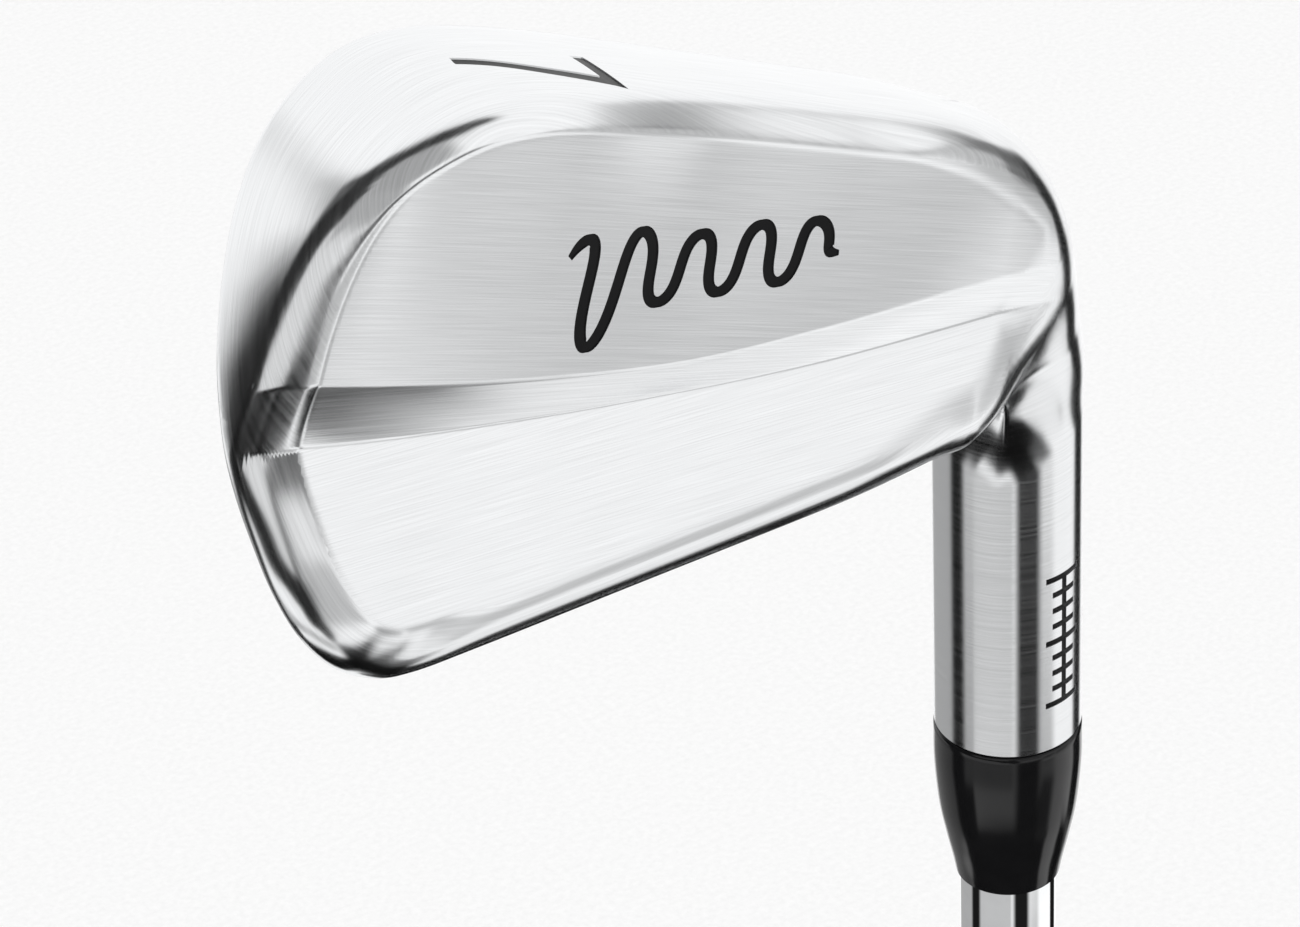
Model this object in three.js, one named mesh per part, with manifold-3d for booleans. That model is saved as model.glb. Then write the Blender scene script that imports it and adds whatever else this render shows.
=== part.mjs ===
// Right-handed muscle-back 7-iron, full length, millimetres, +Z up.
// The club stands on the butt of its grip: the shaft axis is the Z axis, the
// head is at the top, the toe points to -X, the back of the head to -Y.
import * as THREE from 'three';
import { mergeVertices } from 'three/addons/utils/BufferGeometryUtils.js';
import Module from 'manifold-3d';

const wasm = await Module();
wasm.setup();
const { Manifold, Mesh } = wasm;

// ---- driving dimensions -------------------------------------------------
const CLUB_LENGTH = 939.8;      // butt end to the point where the axis meets the ground
const LIE = 64.5 * Math.PI / 180;
const LOFT = 34.2 * Math.PI / 180;
const LEAD_Y = 4.5;             // leading edge in front of the shaft axis
const LEAD_Z = 1.9;             // leading edge above the ground
const HOSEL_R = 6.75;
const HOSEL_END = 65.0;         // hosel mouth below the ground point, along the axis
const BORE_R = 4.8;
const BORE_DEPTH = 34.0;
const SOLE_SLOPE = 0.60;        // rise of the sole per mm of depth behind the face
const BAND = 2.35;              // leg of the polished chamfer band
const TOP_BAND = 1.2;           // leg of the topline edge break
const TOE_CAMBER = [2.0, 1.0];  // curve and flare of the toe side, front to back
const SOLE_CAMBER = [2.5, 2.2]; // curve and flare of the sole, front to back
const HEEL_Z = -25.0;           // where the outer side of the heel begins to lean in
const HEEL_WIDE = 11.6;         // size of the heel's rounded corner across and upwards
const HEEL_HIGH = 24.7;
const HEEL_INSET = 9.6;         // farthest the corner leans in
const HEEL_TILT = 0.6;          // rise of the corner per mm towards the back
const GROOVE_PITCH = 3.6;
const GROOVE_WIDTH = 0.9;
const GROOVE_DEPTH = 0.5;
const GROOVE_COUNT = 12;
const MARK_DEPTH = 0.6;         // depth of the engraved marks
const FILL_TOP = 0.15;          // the enamel stops this far under the surface
const FILL_GAP = 0.12;          // clearance round the enamel
const FERRULE_LENGTH = 17.0;
const SHAFT_TIP_R = 4.45;
const SHAFT_BUTT_R = 7.62;
const SHAFT_STEPS = 14;
const SHAFT_TIP_LENGTH = 205;
const SHAFT_BUTT_LENGTH = 300;
const SHAFT_BUTT_Z = 4.0;       // butt of the shaft above the end of the grip
const GRIP_LENGTH = 267;
const GRIP_BUTT_R = 13.2;
const GRIP_MOUTH_R = 8.9;
const GAP = 0.06;               // clearance kept between bonded pieces
const SEG = 40;                 // segments of a turned piece

// ---- materials ----------------------------------------------------------
const paint = (color, metalness, roughness) => (
  new THREE.MeshStandardMaterial({ color, metalness, roughness }));
const SATIN_CHROME = paint(0xc9cccf, 1.0, 0.28);
const BRIGHT_CHROME = paint(0xdfe3e6, 1.0, 0.08);
const BLACK_ENAMEL = paint(0x0a0a0b, 0.0, 0.25);
const BLACK_PLASTIC = paint(0x0c0c0d, 0.0, 0.18);
const CLEAR_RESIN = paint(0xb9a36a, 0.0, 0.4);
const BRASS = paint(0xb58d3d, 1.0, 0.35);
const BLACK_RUBBER = paint(0x1a1a1b, 0.0, 0.8);
const PAPER_TAPE = paint(0xd8cfae, 0.0, 0.9);
const LABEL = paint(0x9fa4a9, 0.6, 0.35);
const WHITE_ENAMEL = paint(0xe8e8e6, 0.0, 0.4);

// ---- small maths --------------------------------------------------------
const clamp = (x, lo, hi) => Math.min(hi, Math.max(lo, x));

function smooth(a, b, x) {
  const t = clamp((x - a) / (b - a), 0, 1);
  return t * t * (3 - 2 * t);
}

function softMax(a, b, k) {
  const h = Math.max(k - Math.abs(a - b), 0) / k;
  return Math.max(a, b) + h * h * k * 0.25;
}

const softMin = (a, b, k) => -softMax(-a, -b, k);

function hermite(t, a, b, ma, mb) {
  const t2 = t * t;
  const t3 = t2 * t;
  return (2 * t3 - 3 * t2 + 1) * a + (t3 - 2 * t2 + t) * ma
    + (-2 * t3 + 3 * t2) * b + (t3 - t2) * mb;
}

// ---- head: outline and back surface in face-plane coordinates -------------
// p runs from the heel to the toe, q up the face, d backwards from the face.
const OUTLINE = [
  [-6.6, 6.2], [-4.6, 3.4], [-1.5, 1.9], [3, 0.65], [8, -0.15], [13, -0.55],
  [20, -0.6], [35, -0.65], [48, -0.6], [56, -0.2], [61, 0.5], [65.5, 1.9], [69, 3.9],
  [72, 6.5], [74.5, 9.4], [76.5, 12.7], [78.2, 17], [79.4, 21.8], [80.1, 26.6],
  [80.25, 30.5], [79.9, 35], [79, 38.6], [77.6, 42.2], [75.9, 45.8], [73.6, 49],
  [70.6, 51.2], [67.2, 51.9], [63.8, 51.4], [57, 49.2], [40, 43.4], [20, 36.6],
  [8, 32.3], [2.5, 30.4], [-2, 26], [-5.5, 18], [-7, 10],
];
const KNOT_START = -8;
const KNOT_STEP = 16;
const STEP_TOP = [14, 18.4, 22.9, 26.9, 29.4, 31, 31.7];    // q of the step's upper edge
const STEP_FOOT = [17, 21.4, 25.6, 29.1, 32.3, 35, 36.8];   // q of the step's lower edge
const STEP_D = [6.3, 6.8, 7.1, 7.5, 7.8, 8, 8];             // muscle depth at the step
const SOLE_Q = [11, 7.2, 6.7, 7.5, 9.3, 14, 24];            // q of the trailing edge
const SOLE_D = [8.2, 12.3, 13.1, 14.2, 17.2, 17, 11];       // muscle depth at the trailing edge

function closedCurve(points, n) {
  const out = [];
  const count = points.length;
  for (let i = 0; i < count; i += 1) {
    const a = points[(i + count - 1) % count];
    const b = points[i];
    const c = points[(i + 1) % count];
    const e = points[(i + 2) % count];
    for (let k = 0; k < n; k += 1) {
      const t = k / n;
      out.push([0, 1].map((j) => hermite(t, b[j], c[j], (c[j] - a[j]) / 2, (e[j] - b[j]) / 2)));
    }
  }
  return out;
}

const RIM = closedCurve(OUTLINE, 3);

function rimDistance(p, q) {
  let best = Infinity;
  let inside = false;
  for (let i = 0; i < RIM.length; i += 1) {
    const [ax, ay] = RIM[i];
    const [bx, by] = RIM[(i + 1) % RIM.length];
    const ex = bx - ax;
    const ey = by - ay;
    const t = clamp(((p - ax) * ex + (q - ay) * ey) / (ex * ex + ey * ey), 0, 1);
    const dx = p - ax - t * ex;
    const dy = q - ay - t * ey;
    best = Math.min(best, dx * dx + dy * dy);
    if ((ay <= q) !== (by <= q) && p < ex * (q - ay) / ey + ax) inside = !inside;
  }
  return inside ? -Math.sqrt(best) : Math.sqrt(best);
}

function along(values, p) {
  const x = clamp((p - KNOT_START) / KNOT_STEP, 0, values.length - 1.0001);
  const i = Math.floor(x);
  const slope = (j) => {
    const lo = Math.max(j - 1, 0);
    const hi = Math.min(j + 1, values.length - 1);
    return (values[hi] - values[lo]) / (hi - lo);
  };
  return hermite(x - i, values[i], values[i + 1], slope(i), slope(i + 1));
}

const topline = (p) => 29.7 + 0.34 * p;

function backDepth(p, q) {
  const up = along(STEP_TOP, p);
  const foot = along(STEP_FOOT, p);
  const sole = along(SOLE_Q, p);
  const rise = (along(SOLE_D, p) - along(STEP_D, p)) * (up - q) / (up - sole);
  const muscle = along(STEP_D, p) + (q > up ? 0.3 * rise : rise);
  const thin = 4.4 + 0.06 * Math.max(topline(p) - q, 0) - 0.5 * smooth(50, 80, p);
  const t = clamp((q - up) / (foot - up), 0, 1);
  return muscle * (1 - t) + thin * t;
}

function bladeField(p, q, d) {
  const lean = SOLE_SLOPE * (1 - smooth(8, 30, q));
  const depth = backDepth(p, q);
  const lowDown = lean / SOLE_SLOPE;
  const [curve, flare] = [0, 1].map(
    (i) => TOE_CAMBER[i] + (SOLE_CAMBER[i] - TOE_CAMBER[i]) * lowDown);
  const t = clamp(d / depth, 0, 1);
  const rim = rimDistance(p, q - Math.max(d, 0) * lean) + (curve * t - flare) * t;
  const back = (d - depth) * 0.9;
  const below = (topline(p) - q) * 0.94 + smooth(55, 78, p) * 6;
  const band = TOP_BAND + (BAND - TOP_BAND) * smooth(0.5, 5, below);
  const round = 3 * (1 - smooth(0, 20, p));
  const chamfer = (rim + back + band) * Math.SQRT1_2;
  const edged = softMax(softMax(rim, back, 0.3 + round), chamfer, 0.35 + round);
  return softMax(edged, -d, 0.5);
}

// ---- head: whole field about the ground point -----------------------------
const SIN_LIE = Math.sin(LIE);
const COS_LIE = Math.cos(LIE);
const SIN_LOFT = Math.sin(LOFT);
const COS_LOFT = Math.cos(LOFT);
const CAP_Z = -20;              // where the hosel itself begins to round over
const CAP_RISE = 13;
const HEEL_TURN = 35 * Math.PI / 180;

function facePlane(x, y, z) {
  const up = -COS_LIE * x - SIN_LIE * z - LEAD_Z;
  const fore = y - LEAD_Y;
  return [
    -SIN_LIE * x + COS_LIE * z,
    -fore * SIN_LOFT + up * COS_LOFT,
    -fore * COS_LOFT - up * SIN_LOFT,
  ];
}

// Distance past the outer side of the heel, which leans in as it rises.
function heelCorner(x, y, z) {
  const forward = x * Math.sin(HEEL_TURN) + y * Math.cos(HEEL_TURN);
  const rise = clamp((z + HEEL_TILT * forward - HEEL_Z) / HEEL_HIGH, 0, 1);
  const inset = softMin(HEEL_WIDE * (1 - Math.sqrt(1 - rise ** 2)), HEEL_INSET, 4);
  return x * Math.cos(HEEL_TURN) - y * Math.sin(HEEL_TURN) - HOSEL_R + inset;
}

function headField([x, y, z]) {
  const r = Math.hypot(x, y);
  const cap = Math.max(z - CAP_Z, 0) * HOSEL_R / CAP_RISE;
  const hosel = Math.hypot(r, cap) - HOSEL_R;
  const heel = heelCorner(x, y, z);
  const blade = softMax(bladeField(...facePlane(x, y, z)), heel, 4);
  const joined = softMin(blade, hosel, 8 + 6 * smooth(-16, -28, z));
  return softMax(joined, heel - 1.2 * smooth(-20, -28, z), 2);
}

// ---- head: rings of points lofted from the toe round to the hosel mouth ----
const RING = 34;                // points in a ring

function placed(p, q, d) {
  const up = LEAD_Z + q * COS_LOFT - d * SIN_LOFT;
  return [
    -SIN_LIE * p - COS_LIE * up,
    LEAD_Y - q * SIN_LOFT - d * COS_LOFT,
    COS_LIE * p - SIN_LIE * up,
  ];
}

const mix = (a, b, t) => a.map((v, i) => v * (1 - t) + b[i] * t);
const dot = (a, b) => a[0] * b[0] + a[1] * b[1] + a[2] * b[2];
const step = (a, dir, t) => a.map((v, i) => v + dir[i] * t);

function unit(a) {
  const size = Math.hypot(...a);
  return a.map((v) => v / size);
}

// From a point inside the head along a direction to the surface.
function castOut(from, dir) {
  let inside = 0;
  let outside = 70;
  for (let t = 0.5; t < 70; t += 0.5) {
    if (headField(step(from, dir, t)) > 0) {
      outside = t;
      break;
    }
    inside = t;
  }
  for (let i = 0; i < 26; i += 1) {
    const t = (inside + outside) / 2;
    if (headField(step(from, dir, t)) > 0) outside = t;
    else inside = t;
  }
  return step(from, dir, inside);
}

function rimSpan(p) {
  let mid = 30.5;
  for (let q = 0; q < 52; q += 0.5) if (rimDistance(p, q) < rimDistance(p, mid)) mid = q;
  const edge = (sign) => {
    let inside = mid;
    let outside = mid + sign * 60;
    for (let i = 0; i < 40; i += 1) {
      const q = (inside + outside) / 2;
      if (rimDistance(p, q) > 0) outside = q;
      else inside = q;
    }
    return inside;
  };
  return [edge(-1), edge(1)];
}

// The places on one section where the surface turns, and points between them.
function sectionTargets(p) {
  const [low, high] = rimSpan(p);
  const within = (q) => clamp(q, low + 0.05 * (high - low), high - 0.05 * (high - low));
  const trail = within(along(SOLE_Q, p));
  const depth = backDepth(p, trail) - BAND / 0.9;
  const inner = within(trail + 1.7);
  const top = within(along(STEP_TOP, p));
  const foot = within(along(STEP_FOOT, p));
  const out = [];
  const line = (a, b, n) => {
    for (let i = 0; i < n; i += 1) out.push(mix(a, b, i / n));
  };
  const back = (q, cut = 0) => [q, backDepth(p, q) - cut];
  const bevel = high - 2.2;
  line([low + 0.9, 0], [low, 0.8], 2);
  line([low, 0.8], [trail, depth], 5);
  line([trail, depth], back(inner), 2);
  line(back(inner), back(top), 4);
  line(back(top), back(foot), 2);
  line(back(foot), back(Math.max(bevel, foot + 0.1)), 4);
  line(back(bevel), back(high, 1), 2);
  line(back(high, 1), [high, 0.6], 1);
  line([high, 0.6], [high - 0.9, 0], 2);
  line([high - 0.9, 0], [low + 0.9, 0], 10);
  return out.map(([q, d]) => [p, q, d]);
}

function sectionCore(p) {
  const [low, high] = rimSpan(p);
  return placed(p, low + 0.55 * (high - low), 2.2);
}

function bladeRing(p) {
  const from = sectionCore(p);
  return sectionTargets(p).map((t) => castOut(from, unit(step(placed(...t), from, -1))));
}

const NECK_P = 4;               // the blade section where the neck begins
const NECK_Z = -36;             // the hosel section where it ends
const NECK_RINGS = 14;

// Places round the hosel that meet the ring of the blade, in ring order.
function hoselAngle(i) {
  const marks = [[0, -20], [7, 62], [21, 185], [24, 215], [RING, 340]];
  const k = marks.findIndex(([at]) => at > i) - 1;
  const [[i0, a0], [i1, a1]] = [marks[k], marks[k + 1]];
  return (a0 + (a1 - a0) * (i - i0) / (i1 - i0)) * Math.PI / 180;
}

function hoselRing(z) {
  return Array.from({ length: RING }, (_, i) => {
    const a = hoselAngle(i);
    return [HOSEL_R * Math.cos(a), -HOSEL_R * Math.sin(a), z];
  });
}

// Rings in planes that turn about a line beside the neck, from the blade to the hosel.
function neckRings(start) {
  const core = sectionCore(NECK_P);
  const pivotX = (COS_LIE * NECK_Z - NECK_P) / SIN_LIE;
  const reach = Math.hypot(core[0] - pivotX, core[2] - NECK_Z);
  const turns = start.map((point, i) => {
    const away = step(point, core, -1);
    const from = Math.atan2(away[1], away[0] * COS_LIE + away[2] * SIN_LIE);
    const to = -hoselAngle(i);
    return [from, Math.atan2(Math.sin(to - from), Math.cos(to - from))];
  });
  const rings = [];
  for (let r = 1; r <= NECK_RINGS; r += 1) {
    const t = r / (NECK_RINGS + 1);
    const blend = smooth(0, 1, t);
    const tilt = LIE * (1 - t);
    const out = [Math.cos(tilt), 0, Math.sin(tilt)];
    const far = reach * (1 - blend) - pivotX * blend;
    const centre = [pivotX + out[0] * far, core[1] * (1 - blend), NECK_Z + out[2] * far];
    rings.push(turns.map(([from, turn]) => {
      const a = from + turn * blend;
      const dir = [Math.cos(a) * out[0], Math.sin(a), Math.cos(a) * out[2]];
      return castOut(centre, dir);
    }));
  }
  return [start, ...rings, hoselRing(NECK_Z)];
}

function loft(rings) {
  const points = rings.flat();
  const n = rings[0].length;
  const faces = [];
  for (let r = 0; r + 1 < rings.length; r += 1) {
    for (let i = 0; i < n; i += 1) {
      const j = (i + 1) % n;
      const [a, b, c, e] = [r * n + i, r * n + j, (r + 1) * n + j, (r + 1) * n + i];
      faces.push(a, b, c, a, c, e);
    }
  }
  const close = (start, flip) => {
    const middle = points.length;
    const ring = points.slice(start, start + n);
    points.push([0, 1, 2].map((k) => ring.reduce((sum, v) => sum + v[k], 0) / n));
    for (let i = 0; i < n; i += 1) {
      const j = (i + 1) % n;
      if (flip) faces.push(middle, start + i, start + j);
      else faces.push(middle, start + j, start + i);
    }
  };
  close(0, false);
  close((rings.length - 1) * n, true);
  return solidFrom(points, faces);
}

const TOE_STATIONS = [80.34, 80.1, 79.45, 78.5, 77.2, 75.6, 73.6, 71.2, 68.4, 65.4, 62];
const BLADE_STATIONS = [57.5, 52.5, 47, 41.5, 36, 30.5, 25, 20, 15, 11, 7.5];

function headLoft() {
  const blade = [...TOE_STATIONS, ...BLADE_STATIONS].map((p) => bladeRing(p));
  return loft([...blade, ...neckRings(bladeRing(NECK_P)), hoselRing(-HOSEL_END)]);
}

// ---- solids ---------------------------------------------------------------
function solidFrom(points, faces) {
  const geometry = new THREE.BufferGeometry();
  geometry.setAttribute('position', new THREE.Float32BufferAttribute(points.flat(), 3));
  geometry.setIndex(faces);
  return toManifold(geometry);
}

function toManifold(geometry) {
  const bare = geometry.clone();
  bare.deleteAttribute('normal');
  bare.deleteAttribute('uv');
  const merged = mergeVertices(bare, 1e-4);
  return new Manifold(new Mesh({
    numProp: 3,
    vertProperties: new Float32Array(merged.attributes.position.array),
    triVerts: new Uint32Array(merged.index.array),
  }));
}

function toGeometry(solid) {
  const mesh = solid.getMesh();
  const geometry = new THREE.BufferGeometry();
  const count = mesh.vertProperties.length / mesh.numProp;
  const position = new Float32Array(count * 3);
  for (let i = 0; i < count; i += 1) {
    for (let k = 0; k < 3; k += 1) {
      position[3 * i + k] = mesh.vertProperties[mesh.numProp * i + k];
    }
  }
  geometry.setAttribute('position', new THREE.BufferAttribute(position, 3));
  geometry.setIndex(new THREE.BufferAttribute(new Uint32Array(mesh.triVerts), 1));
  geometry.computeVertexNormals();
  return geometry;
}

// A turned piece from [radius, z] points, closed on itself or on the axis.
function turned(points, segments = SEG) {
  const profile = points.map(([r, z]) => new THREE.Vector2(r, z));
  if (points[0][0] > 0) profile.push(profile[0].clone());
  const geometry = new THREE.LatheGeometry(profile, segments);
  geometry.rotateX(Math.PI / 2);
  let solid = toManifold(geometry);
  if (solid.volume() < 0) {
    const flipped = geometry.clone();
    const index = flipped.index.array;
    for (let i = 0; i < index.length; i += 3) [index[i], index[i + 1]] = [index[i + 1], index[i]];
    solid = toManifold(flipped);
  }
  return solid;
}

const tube = (inner, outer, z0, z1, segments) => (
  turned([[inner, z0], [outer, z0], [outer, z1], [inner, z1]], segments));

// ---- marks ------------------------------------------------------------------
// A mark is a strip: pairs of edge points that run side by side along it.
const MARK_TURN = 191.5 * Math.PI / 180;  // the wave climbs a little along the muscle
const MARK_CENTRE = [39.5, 19.4];
const WAVE_STEPS = 64;
const WAVES = 4.6;

function waveCentre(t) {
  const turn = 2 * Math.PI * (WAVES * t - 0.12);
  const tall = 2.3 + 2.5 * Math.exp(-(((t - 0.135) / 0.1) ** 2)) - 1.5 * smooth(0.84, 1, t);
  const y = tall * Math.cos(turn);
  const x = -15.5 + 31 * t + (31 / WAVES) * 0.06 * Math.sin(2 * turn) + 0.3 * y;
  return [x, y];
}

// A pen wave on the muscle in (p, q): one tall swing, shorter ones and a tail.
function flourish(inset) {
  const pairs = [];
  const first = inset > 0 ? 1 : 0;
  for (let i = first; i <= WAVE_STEPS - first; i += 1) {
    const t = i / WAVE_STEPS;
    const [x, y] = waveCentre(t);
    const [ax, ay] = waveCentre(t - 0.002);
    const [bx, by] = waveCentre(t + 0.002);
    const long = Math.hypot(bx - ax, by - ay);
    const [sx, sy] = [-(by - ay) / long, (bx - ax) / long];
    const full = 0.8 + 0.45 * Math.abs(sx);
    const half = full * 0.5 * smooth(-0.03, 0.03, t) * smooth(1.03, 0.97, t);
    const w = Math.max(half - inset, 0.1);
    pairs.push([-1, 1].map((k) => {
      const [u, v] = [x + k * w * sx, y + k * w * sy];
      return [
        MARK_CENTRE[0] + u * Math.cos(MARK_TURN) - v * Math.sin(MARK_TURN),
        MARK_CENTRE[1] + u * Math.sin(MARK_TURN) + v * Math.cos(MARK_TURN),
      ];
    }));
  }
  return pairs;
}

// The figure seven on the sole, drawn in (p, d): a short bar and a long one.
function seven(g) {
  const bow = (p) => 0.45 * Math.sin(Math.PI * clamp((p - 50) / 12.4, 0, 1));
  const corners = [
    [48.6 + 1.05 * g, 6.9 + g, 7.1 + g],
    [48.9 + g, 6.9 + g, 12.7 - 1.4 * g],
    [49.9 - g, 6.9 + g, 12.38 - 1.05 * g],
    [50.2 - 0.9 * g, 10.8 + 1.3 * g, 12.3 - 1.05 * g],
    [54.2, 9.6 + 1.05 * g, 11.03 - 1.05 * g],
    [58.2, 8.4 + 1.05 * g, 9.76 - 1.05 * g],
    [62.2 - 0.64 * g, 7.2 + 1.2 * g, 8.5 - 1.05 * g],
    [62.5 - 1.3 * g, 8.15 - 0.75 * g, 8.4 - 0.65 * g],
  ];
  return corners.map(([p, low, high]) => [[p, low + bow(p)], [p, high + bow(p)]]);
}

const SCALE_Z = -53;
const SCALE_TURN = -79 * Math.PI / 180;
const SCALE_DEPTH = 0.4;
const SCALE_TICKS = 9;
const SCALE_PITCH = 1.7;

// A short ruled scale on the hosel, drawn in (arc, z).
function scale(inset) {
  const pairs = [];
  for (let i = 0; i < SCALE_TICKS; i += 1) {
    const half = (i % 4 === 0 ? 2.1 : 1.4) - inset;
    const middle = SCALE_PITCH * (i - (SCALE_TICKS - 1) / 2);
    const thick = 0.32 - inset;
    const row = (z, w) => pairs.push([[-w, z], [w, z]]);
    if (i > 0) row(middle - thick - 0.01, 0.32 - inset);
    row(middle - thick, half);
    row(middle + thick, half);
    if (i < SCALE_TICKS - 1) row(middle + thick + 0.01, 0.32 - inset);
  }
  return pairs;
}

const onMuscle = ([p, q], sink) => placed(p, q, backDepth(p, q) - sink);

function onSole([p, d], sink) {
  let inside = 12;
  let outside = -12;
  for (let i = 0; i < 30; i += 1) {
    const q = (inside + outside) / 2;
    if (bladeField(p, q, d) < 0) inside = q;
    else outside = q;
  }
  return placed(p, inside + sink, d);
}

function onHosel([arc, z], sink) {
  const a = SCALE_TURN + arc / HOSEL_R;
  const r = HOSEL_R - sink;
  return [r * Math.cos(a), r * Math.sin(a), SCALE_Z + z];
}

// A closed solid of rings of points, with a flat cap at each end.
function closedLoft(rings) {
  const n = rings[0].length;
  const faces = [];
  for (let r = 0; r + 1 < rings.length; r += 1) {
    for (let i = 0; i < n; i += 1) {
      const j = (i + 1) % n;
      faces.push(r * n + i, r * n + j, (r + 1) * n + j, r * n + i, (r + 1) * n + j, (r + 1) * n + i);
    }
  }
  const last = (rings.length - 1) * n;
  for (let i = 1; i + 1 < n; i += 1) {
    faces.push(0, i + 1, i);
    faces.push(last, last + i, last + i + 1);
  }
  const solid = solidFrom(rings.flat(), faces);
  if (solid.volume() > 0) return solid;
  for (let i = 0; i < faces.length; i += 3) [faces[i], faces[i + 1]] = [faces[i + 1], faces[i]];
  return solidFrom(rings.flat(), faces);
}

// A strip sunk into a surface, from one depth to another.
function bar(pairs, place, deep, shallow, columns = 1) {
  const shares = Array.from({ length: columns + 1 }, (_, i) => i / columns);
  return closedLoft(pairs.map(([a, b]) => [
    ...shares.map((t) => place(mix(a, b, t), deep)),
    ...shares.map((t) => place(mix(b, a, t), shallow)),
  ]));
}

// ---- the pieces ---------------------------------------------------------------
function scoreLines() {
  const lines = [];
  const half = GROOVE_WIDTH / 2;
  for (let i = 0; i < GROOVE_COUNT; i += 1) {
    const q = 4.2 + GROOVE_PITCH * i;
    const heel = Math.max(17, (q + 3.2 - 28.9) / 0.34);
    lines.push(closedLoft([heel, 66].map((p) => [
      placed(p, q - half, -1), placed(p, q + half, -1), placed(p, q + half, 0),
      placed(p, q + 0.5 * half, GROOVE_DEPTH), placed(p, q - 0.5 * half, GROOVE_DEPTH),
      placed(p, q - half, 0),
    ])));
  }
  return lines;
}

function buildHead() {
  const bore = turned([
    [0, -HOSEL_END - 1], [BORE_R, -HOSEL_END - 1], [BORE_R, BORE_DEPTH - HOSEL_END],
    [0, BORE_DEPTH - HOSEL_END + 2.5],
  ]);
  const cuts = [
    ...scoreLines(), bore,
    bar(flourish(0), onMuscle, MARK_DEPTH, -1),
    bar(seven(0), onSole, MARK_DEPTH, -2),
    bar(scale(0), onHosel, SCALE_DEPTH, -1, 5),
  ];
  return headLoft().subtract(Manifold.union(cuts));
}

function buildShaft() {
  const top = CLUB_LENGTH - HOSEL_END + BORE_DEPTH - 2;
  const tipEnd = top - SHAFT_TIP_LENGTH;
  const rise = (tipEnd - SHAFT_BUTT_LENGTH) / SHAFT_STEPS;
  const outer = [[SHAFT_BUTT_R, SHAFT_BUTT_Z]];
  for (let i = 0; i < SHAFT_STEPS; i += 1) {
    const z = SHAFT_BUTT_LENGTH + (i + 0.5) * rise;
    const drop = (SHAFT_BUTT_R - SHAFT_TIP_R) / SHAFT_STEPS;
    const r = SHAFT_BUTT_R - i * drop;
    outer.push([r, z], [r - drop, z + 1.2]);
  }
  outer.push([SHAFT_TIP_R, top]);
  const inner = [
    [SHAFT_TIP_R - 1.1, top], [SHAFT_TIP_R - 1.1, tipEnd],
    [SHAFT_BUTT_R - 0.65, SHAFT_BUTT_LENGTH], [SHAFT_BUTT_R - 0.65, SHAFT_BUTT_Z],
  ];
  return turned([...outer, ...inner], 32);
}

function buildFerrule() {
  const top = -HOSEL_END - GAP;
  const outer = [[6.8, 0], [6.79, 4], [6.6, 7], [6.3, 9.7], [5.76, 12.6], [5.1, 15.7], [4.86, 17]];
  const wall = outer.map(([r, drop]) => [r, top - drop * (FERRULE_LENGTH / 17)]);
  const bottom = wall[wall.length - 1][1];
  return turned([[SHAFT_TIP_R + GAP, top], ...wall, [SHAFT_TIP_R + GAP, bottom]]);
}

function buildGrip() {
  const wall = [
    [GRIP_BUTT_R, 3.7], [GRIP_BUTT_R, 12], [12.4, 60], [11.3, 130], [10.1, 200],
    [GRIP_MOUTH_R + 0.15, 254], [GRIP_MOUTH_R - 0.2, 254], [GRIP_MOUTH_R - 0.2, 256],
    [GRIP_MOUTH_R + 0.1, 256], [GRIP_MOUTH_R, GRIP_LENGTH],
  ];
  const bore = SHAFT_BUTT_R + 0.3;
  return turned([[bore, 3.7], ...wall, [bore, GRIP_LENGTH]]);
}

function buildCap() {
  return turned([
    [1.6, 0], [GRIP_BUTT_R - 1, 0], [GRIP_BUTT_R - 0.3, 0.3], [GRIP_BUTT_R, 1], [GRIP_BUTT_R, 3.6],
    [1.6, 3.6],
  ]);
}

// ---- assembly -----------------------------------------------------------------
const group = new THREE.Group();
group.name = 'iron_golf_club';

function add(name, solid, material, z = 0) {
  const mesh = new THREE.Mesh(toGeometry(solid), material);
  mesh.name = name;
  mesh.position.z = z;
  group.add(mesh);
}

const BORE_TOP = BORE_DEPTH - HOSEL_END;
add('head_forging', buildHead(), SATIN_CHROME, CLUB_LENGTH);
add('sole_number_fill', bar(seven(FILL_GAP), onSole, MARK_DEPTH - FILL_GAP, FILL_TOP),
  BLACK_ENAMEL, CLUB_LENGTH);
add('back_mark_fill', bar(flourish(FILL_GAP), onMuscle, MARK_DEPTH - FILL_GAP, FILL_TOP),
  BLACK_ENAMEL, CLUB_LENGTH);
add('hosel_scale_fill', bar(scale(0.1), onHosel, SCALE_DEPTH - 0.1, 0.1, 5),
  BLACK_ENAMEL, CLUB_LENGTH);
add('ferrule', buildFerrule(), BLACK_PLASTIC, CLUB_LENGTH);
add('hosel_epoxy', tube(SHAFT_TIP_R + GAP, BORE_R - GAP, 0.5 - HOSEL_END, BORE_TOP - 2.5),
  CLEAR_RESIN, CLUB_LENGTH);
add('tip_weight', turned([
  [0, BORE_TOP - 14], [3.2, BORE_TOP - 13], [3.2, BORE_TOP - 2.2], [0, BORE_TOP - 2.2],
], 32), BRASS, CLUB_LENGTH);
add('shaft', buildShaft(), BRIGHT_CHROME);
add('shaft_band', tube(SHAFT_BUTT_R + GAP, SHAFT_BUTT_R + 0.2, 272, 296, 32), LABEL);
add('grip_tape', tube(SHAFT_BUTT_R + GAP, SHAFT_BUTT_R + 0.24, 8, 262), PAPER_TAPE);
add('grip_sleeve', buildGrip(), BLACK_RUBBER);
add('grip_ring_fill', tube(GRIP_MOUTH_R - 0.2 + GAP, GRIP_MOUTH_R + 0.05, 254.1, 255.9),
  WHITE_ENAMEL);
add('grip_end_cap', buildCap(), BLACK_PLASTIC);

export default group;
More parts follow.
